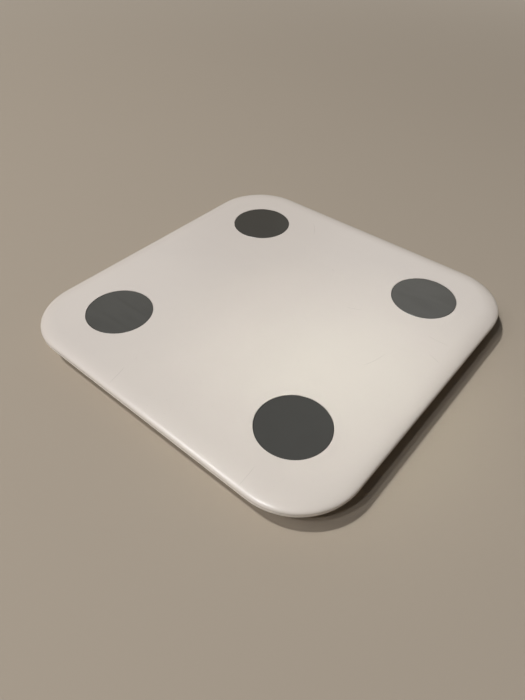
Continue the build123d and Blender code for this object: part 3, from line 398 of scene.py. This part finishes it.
def leadSleeve(name):
    look = leadLooks[name]
    finish, tree, shader = newFinish(name)
    patchOut = useGroup(tree, patches, scale=60.0, contrast=1.1)
    grainOut = useGroup(tree, grain, scale=1800.0, wave=300.0)
    colour = mixColours(tree, patchOut["Mask"], look["colour"], look["shade"])
    tree.links.new(colour, shader.inputs["Base Color"])
    tree.links.new(mapRange(tree, patchOut["Streaks"], 0.0, 1.0, *look["rough"]), shader.inputs["Roughness"])
    tree.links.new(bump(tree, grainOut["Height"], 0.00002, 0.6), shader.inputs["Normal"])
    return finish


ribbonLook = {
    "film": (0.20, 0.20, 0.215),
    "shade": (0.165, 0.165, 0.18),
    "valley": (0.09, 0.09, 0.1),
    "halfPitch": 0.00035,
    "rough": (0.4, 0.55),
}


def ribbonGrey():
    # conductors side by side under a grey film
    finish, tree, shader = newFinish("ribbon_grey")
    across = addNode(tree, "ShaderNodeSeparateXYZ", None, {0: objectPlace(tree)}).outputs["X"]
    stripes = mathNode(tree, "PINGPONG", across, ribbonLook["halfPitch"])
    ridge = mapRange(tree, stripes, 0.0, ribbonLook["halfPitch"])
    patchOut = useGroup(tree, patches, scale=40.0, contrast=0.8)
    film = mixColours(tree, patchOut["Mask"], ribbonLook["film"], ribbonLook["shade"])
    rough = mapRange(tree, patchOut["Streaks"], 0.0, 1.0, *ribbonLook["rough"])
    tree.links.new(mixColours(tree, ridge, ribbonLook["valley"], film), shader.inputs["Base Color"])
    tree.links.new(rough, shader.inputs["Roughness"])
    tree.links.new(bump(tree, ridge, 0.00008, 0.8), shader.inputs["Normal"])
    return finish


boardLook = {
    "mask": (0.012, 0.095, 0.035),
    "track": (0.03, 0.19, 0.07),
    "via": (0.42, 0.40, 0.34),
    "rough": (0.22, 0.34),
    "trackScale": 420.0,
    "tracks": (0.4, 0.55),  # where the tracks show among bare mask
    "viaScale": 260.0,
    "viaEdge": (0.14, 0.1),
}


def boardGreen():
    # solder mask over copper: tracks stand a little proud and lighter, with round vias
    finish, tree, shader = newFinish("board_green")
    place = objectPlace(tree)
    black, dim, white = (0, 0, 0, 1), (0.2, 0.2, 0.2, 1), (1, 1, 1, 1)
    brickInputs = {"Vector": place, "Scale": boardLook["trackScale"], "Mortar Size": 0.06,
                   "Brick Width": 1.6, "Row Height": 0.42, "Color1": black, "Color2": dim, "Mortar": white}
    brick = addNode(tree, "ShaderNodeTexBrick", {"offset": 0.5, "squash": 1.0}, brickInputs).outputs["Fac"]
    patchOut = useGroup(tree, patches, scale=22.0, contrast=1.4)
    grainOut = useGroup(tree, grain, scale=2500.0, wave=200.0)
    tracks = mathNode(tree, "MULTIPLY", brick, mapRange(tree, patchOut["Mask"], *boardLook["tracks"]))
    viaInputs = {"Vector": place, "Scale": boardLook["viaScale"], "Randomness": 0.7}
    vias = addNode(tree, "ShaderNodeTexVoronoi", None, viaInputs).outputs["Distance"]
    green = mixColours(tree, tracks, boardLook["mask"], boardLook["track"])
    colour = mixColours(tree, mapRange(tree, vias, *boardLook["viaEdge"]), green, boardLook["via"])
    height = mathNode(tree, "ADD", tracks, mathNode(tree, "MULTIPLY", grainOut["Height"], 0.2))
    rough = mapRange(tree, grainOut["Mask"], 0.0, 1.0, *boardLook["rough"])
    tree.links.new(colour, shader.inputs["Base Color"])
    tree.links.new(rough, shader.inputs["Roughness"])
    tree.links.new(bump(tree, height, 0.00004, 0.7, soften(tree, 0.0002)), shader.inputs["Normal"])
    return finish


jacket = {
    "body": (0.050, 0.056, 0.070),
    "shade": (0.070, 0.077, 0.092),
    "band": (0.62, 0.36, 0.15),
    "steel": (0.50, 0.50, 0.49),
    "rough": (0.22, 0.38),
    "bandShine": 0.85,
    "coat": 0.5,
    "bandStart": 0.73,  # these three are shares of the length, from the flat end
    "jacketEnd": 0.975,
    "flatEnd": 0.018,
    "turned": ("battery_2", "battery_4"),  # neighbours point opposite ways
}


def cellJacket(name, forwards):
    # foil jacket with a coppery band at the nipple end, and bare steel at both ends
    finish, tree, shader = newFinish(name)
    grainOut = useGroup(tree, grain, scale=2200.0, wave=90.0)
    patchOut = useGroup(tree, patches, scale=60.0, contrast=0.8)
    wear = useGroup(tree, edgeWear, width=0.0006, scale=500.0, amount=1.0)["Mask"]
    place = addNode(tree, "ShaderNodeTexCoord").outputs["Generated"]
    along = addNode(tree, "ShaderNodeSeparateXYZ", None, {0: place}).outputs["X"]
    if not forwards:
        along = mathNode(tree, "SUBTRACT", 1.0, along)
    flatEnd = mathNode(tree, "LESS_THAN", along, jacket["flatEnd"])
    ends = mathNode(tree, "MAXIMUM", flatEnd, mathNode(tree, "GREATER_THAN", along, jacket["jacketEnd"]))
    band = mathNode(tree, "GREATER_THAN", along, jacket["bandStart"])
    metal = mathNode(tree, "MAXIMUM", ends, mathNode(tree, "MULTIPLY", band, jacket["bandShine"]))
    colour = mixColours(tree, patchOut["Mask"], jacket["body"], jacket["shade"])
    colour = mixColours(tree, band, colour, jacket["band"])
    colour = mixColours(tree, mathNode(tree, "MAXIMUM", ends, wear), colour, jacket["steel"])
    rough = mapRange(tree, patchOut["Streaks"], 0.0, 1.0, *jacket["rough"])
    height = mathNode(tree, "SUBTRACT", grainOut["Height"], mathNode(tree, "MULTIPLY", ends, 6.0))
    tree.links.new(colour, shader.inputs["Base Color"])
    tree.links.new(metal, shader.inputs["Metallic"])
    tree.links.new(rough, shader.inputs["Roughness"])
    tree.links.new(bump(tree, height, 0.000012, 0.6, soften(tree, 0.0003)), shader.inputs["Normal"])
    shader.inputs["Coat Weight"].default_value = jacket["coat"]
    return finish


finishes = {name: mouldedPlastic(name) for name in plasticLooks}
finishes.update({name: satinMetal(name) for name in metalLooks})
finishes.update({name: softRubber(name) for name in rubberLooks})
finishes.update({name: leadSleeve(name) for name in leadLooks})
finishes["coated_glass"] = coatedGlass()
finishes["ribbon_grey"] = ribbonGrey()
finishes["board_green"] = boardGreen()
finishes["cell_jacket"] = cellJacket("cell_jacket", True)
finishes["cell_jacket_turned"] = cellJacket("cell_jacket_turned", False)

for part in frame["record"]["subparts"]:
    name = part["node"]
    finish = part["material_slot"] + ("_turned" if name in jacket["turned"] else "")
    for slot in frame["nodes"][name].material_slots:
        slot.material = finishes[finish]
print("finishes ready:", len(finishes))


# camera, lamps and floor

camera = {
    "lens": 28.05,
    "target": (0.0279, -0.0485),  # on the standing face
    "azimuth": 39.52,  # degrees, from the user's side
    "elevation": 44.31,
    "roll": 0.98,
    "distance": 0.4176,  # metres, from the target
}


def placeCamera():
    data = bpy.data.cameras.new("camera")
    data.lens = camera["lens"]
    data.clip_start = 0.01
    a = math.radians(camera["azimuth"])
    e = math.radians(camera["elevation"])
    look = Vector((-math.sin(a) * math.cos(e), math.cos(a) * math.cos(e), -math.sin(e)))
    roll = Matrix.Rotation(math.radians(camera["roll"]), 3, "Z")
    view = bpy.data.objects.new("camera", data)
    view.location = Vector((*camera["target"], topZ)) - look * camera["distance"]
    view.rotation_euler = (look.to_track_quat("-Z", "Y").to_matrix() @ roll).to_euler()
    bpy.context.scene.collection.objects.link(view)
    bpy.context.scene.camera = view


nearCorner = (0.15, -0.10, 0.0)
middle = (0.0, 0.0, 0.0)
lamps = {
    # "from" is a direction, "share" the part of the floor's light that the lamp gives;
    # a lamp that isn't "mirrored" leaves no shine, and one without "lighting" leaves nothing else
    "keyLamp": {"aim": nearCorner, "from": (-0.36, -0.31, 1.0), "distance": 4.0,
                "size": 0.14, "share": 0.52, "mirrored": False},
    "sideLamp": {"aim": nearCorner, "from": (-0.21, -0.70, 1.0), "distance": 4.0,
                 "size": 0.14, "share": 0.14, "mirrored": False},
    "frontLamp": {"aim": nearCorner, "from": (-0.06, -0.75, 1.0), "distance": 4.0,
                  "size": 0.14, "share": 0.13, "mirrored": False},
    "windowLamp": {"aim": nearCorner, "from": (-0.64, -0.74, 1.0), "distance": 4.0,
                   "size": 0.8, "share": 0.06},
    # the same lamps as the polish shows them, wide and soft
    "sideShine": {"aim": nearCorner, "from": (-0.21, -0.70, 1.0), "distance": 4.0,
                  "size": 0.50, "share": 0.14, "lighting": False},
    "frontShine": {"aim": nearCorner, "from": (-0.06, -0.75, 1.0), "distance": 4.0,
                   "size": 0.70, "share": 0.13, "lighting": False},
    "windowShine": {"aim": nearCorner, "from": (-0.64, -0.74, 1.0), "distance": 4.0,
                    "size": 0.8, "share": 0.10, "lighting": False},
    # two soft boxes behind, mostly seen in the polish
    "backLamp": {"aim": middle, "from": (-0.27, 0.78, 0.563), "distance": 3.0,
                 "size": 1.2, "share": 0.017},
    "farSideLamp": {"aim": middle, "from": (-0.72, 0.40, 0.575), "distance": 3.0,
                    "size": 1.0, "share": 0.008},
    # a narrow beam, whose share counts as if it were as wide as the others
    "poolLamp": {"aim": (0.088, -0.024, 0.0), "from": (-0.36, -0.31, 1.0), "distance": 1.2,
                 "size": 0.12, "share": 0.0019, "mirrored": False,
                 "spread": 14.0, "colour": (0.94, 1.0, 0.86)},
    # only reaches the underside, and throws no light from there onto the floor
    "lowLamp": {"aim": middle, "from": (-0.3, -0.6, -1.0), "distance": 2.0,
                "size": 1.6, "share": 0.32, "mirrored": False, "bounces": 0},
}


def placeLamp(name):
    settings = lamps[name]
    direction = Vector(settings["from"]).normalized()
    data = bpy.data.lights.new(name, "AREA")
    data.shape = "DISK"
    data.size = settings["size"]
    data.spread = math.radians(settings.get("spread", 180.0))
    data.color = settings.get("colour", (1.0, 1.0, 1.0))
    # the power that gives the floor its share from that distance and slant
    data.energy = settings["share"] * math.pi**2 * settings["distance"] ** 2 / abs(direction.z)
    lamp = bpy.data.objects.new(name, data)
    lamp.location = Vector(settings["aim"]) + direction * settings["distance"]
    lamp.rotation_euler = (-direction).to_track_quat("-Z", "Y").to_euler()
    lamp.visible_camera = False
    lamp.visible_glossy = settings.get("mirrored", True)
    lamp.visible_diffuse = settings.get("lighting", True)
    if "bounces" in settings:
        data.cycles.max_bounces = settings["bounces"]
    bpy.context.scene.collection.objects.link(lamp)


stage = {
    "floorRadius": 9.0,
    "floorSides": 96,
    "colour": (0.385, 0.327, 0.262),
    "rough": 0.85,
    "specular": 0.2,
    "fill": 0.03,  # even light from all round
    "fade": (0.5, 2.2),  # the floor passes into the horizon between these distances
    "horizon": (0.41, 0.36, 0.30),
    "above": (0.72, 0.71, 0.69),
    "rise": (0.50, 0.66),  # heights of a direction between which the room turns lighter
}


def seenRays(tree, rays):
    # what the camera, the polish and clear pieces see
    through = mathNode(tree, "MAXIMUM", rays["Is Glossy Ray"], rays["Is Transmission Ray"])
    return mathNode(tree, "MAXIMUM", rays["Is Camera Ray"], through)


def makeFloor():
    mesh = bpy.data.meshes.new("floor")
    shape = bmesh.new()
    bmesh.ops.create_circle(shape, cap_ends=True, segments=stage["floorSides"], radius=stage["floorRadius"])
    shape.to_mesh(mesh)
    shape.free()
    floor = bpy.data.objects.new("floor", mesh)
    bpy.context.scene.collection.objects.link(floor)
    finish, tree, shader = newFinish("plain floor")
    shader.inputs["Base Color"].default_value = (*stage["colour"], 1.0)
    shader.inputs["Roughness"].default_value = stage["rough"]
    shader.inputs["Specular IOR Level"].default_value = stage["specular"]
    rays = addNode(tree, "ShaderNodeLightPath").outputs
    away = addNode(tree, "ShaderNodeVectorMath", {"operation": "LENGTH"}, {0: objectPlace(tree)})
    distance = mapRange(tree, away.outputs["Value"], *stage["fade"], smooth=True)
    far = mathNode(tree, "MULTIPLY", seenRays(tree, rays), distance)
    hazeInputs = {"Color": (*stage["horizon"], 1.0), "Strength": 1.0}
    haze = addNode(tree, "ShaderNodeEmission", None, hazeInputs).outputs[0]
    faded = addNode(tree, "ShaderNodeMixShader", None, {0: far, 1: shader.outputs[0], 2: haze}).outputs[0]
    # clear from below and for the low lamp, so that the underside can be looked at
    backfacing = addNode(tree, "ShaderNodeNewGeometry").outputs["Backfacing"]
    below = mathNode(tree, "MAXIMUM", backfacing, rays["Is Shadow Ray"])
    clear = addNode(tree, "ShaderNodeBsdfTransparent").outputs[0]
    both = addNode(tree, "ShaderNodeMixShader", None, {0: below, 1: faded, 2: clear}).outputs[0]
    tree.links.new(both, tree.nodes["Material Output"].inputs["Surface"])
    mesh.materials.append(finish)


def makeWorld():
    # an even fill light; what is seen behind and in the polish is a pale room, lighter above
    world = bpy.data.worlds.new("studio")
    bpy.context.scene.world = world
    world.use_nodes = True
    tree = world.node_tree
    fill = tree.nodes["Background"]
    fill.inputs["Color"].default_value = (1.0, 1.0, 1.0, 1.0)
    fill.inputs["Strength"].default_value = stage["fill"]
    direction = addNode(tree, "ShaderNodeTexCoord").outputs["Generated"]
    height = addNode(tree, "ShaderNodeSeparateXYZ", None, {0: direction}).outputs["Z"]
    upper = mapRange(tree, height, *stage["rise"], smooth=True)
    room = mixColours(tree, upper, stage["horizon"], stage["above"])
    backdrop = addNode(tree, "ShaderNodeBackground", None, {"Color": room, "Strength": 1.0}).outputs[0]
    seen = seenRays(tree, addNode(tree, "ShaderNodeLightPath").outputs)
    both = addNode(tree, "ShaderNodeMixShader", None, {0: seen, 1: fill.outputs[0], 2: backdrop}).outputs[0]
    tree.links.new(both, tree.nodes["World Output"].inputs["Surface"])


placeCamera()
for lampName in lamps:
    placeLamp(lampName)
makeFloor()
makeWorld()
bpy.context.scene.view_settings.view_transform = "Standard"
print("stage ready: camera,", len(lamps), "lamps and floor")
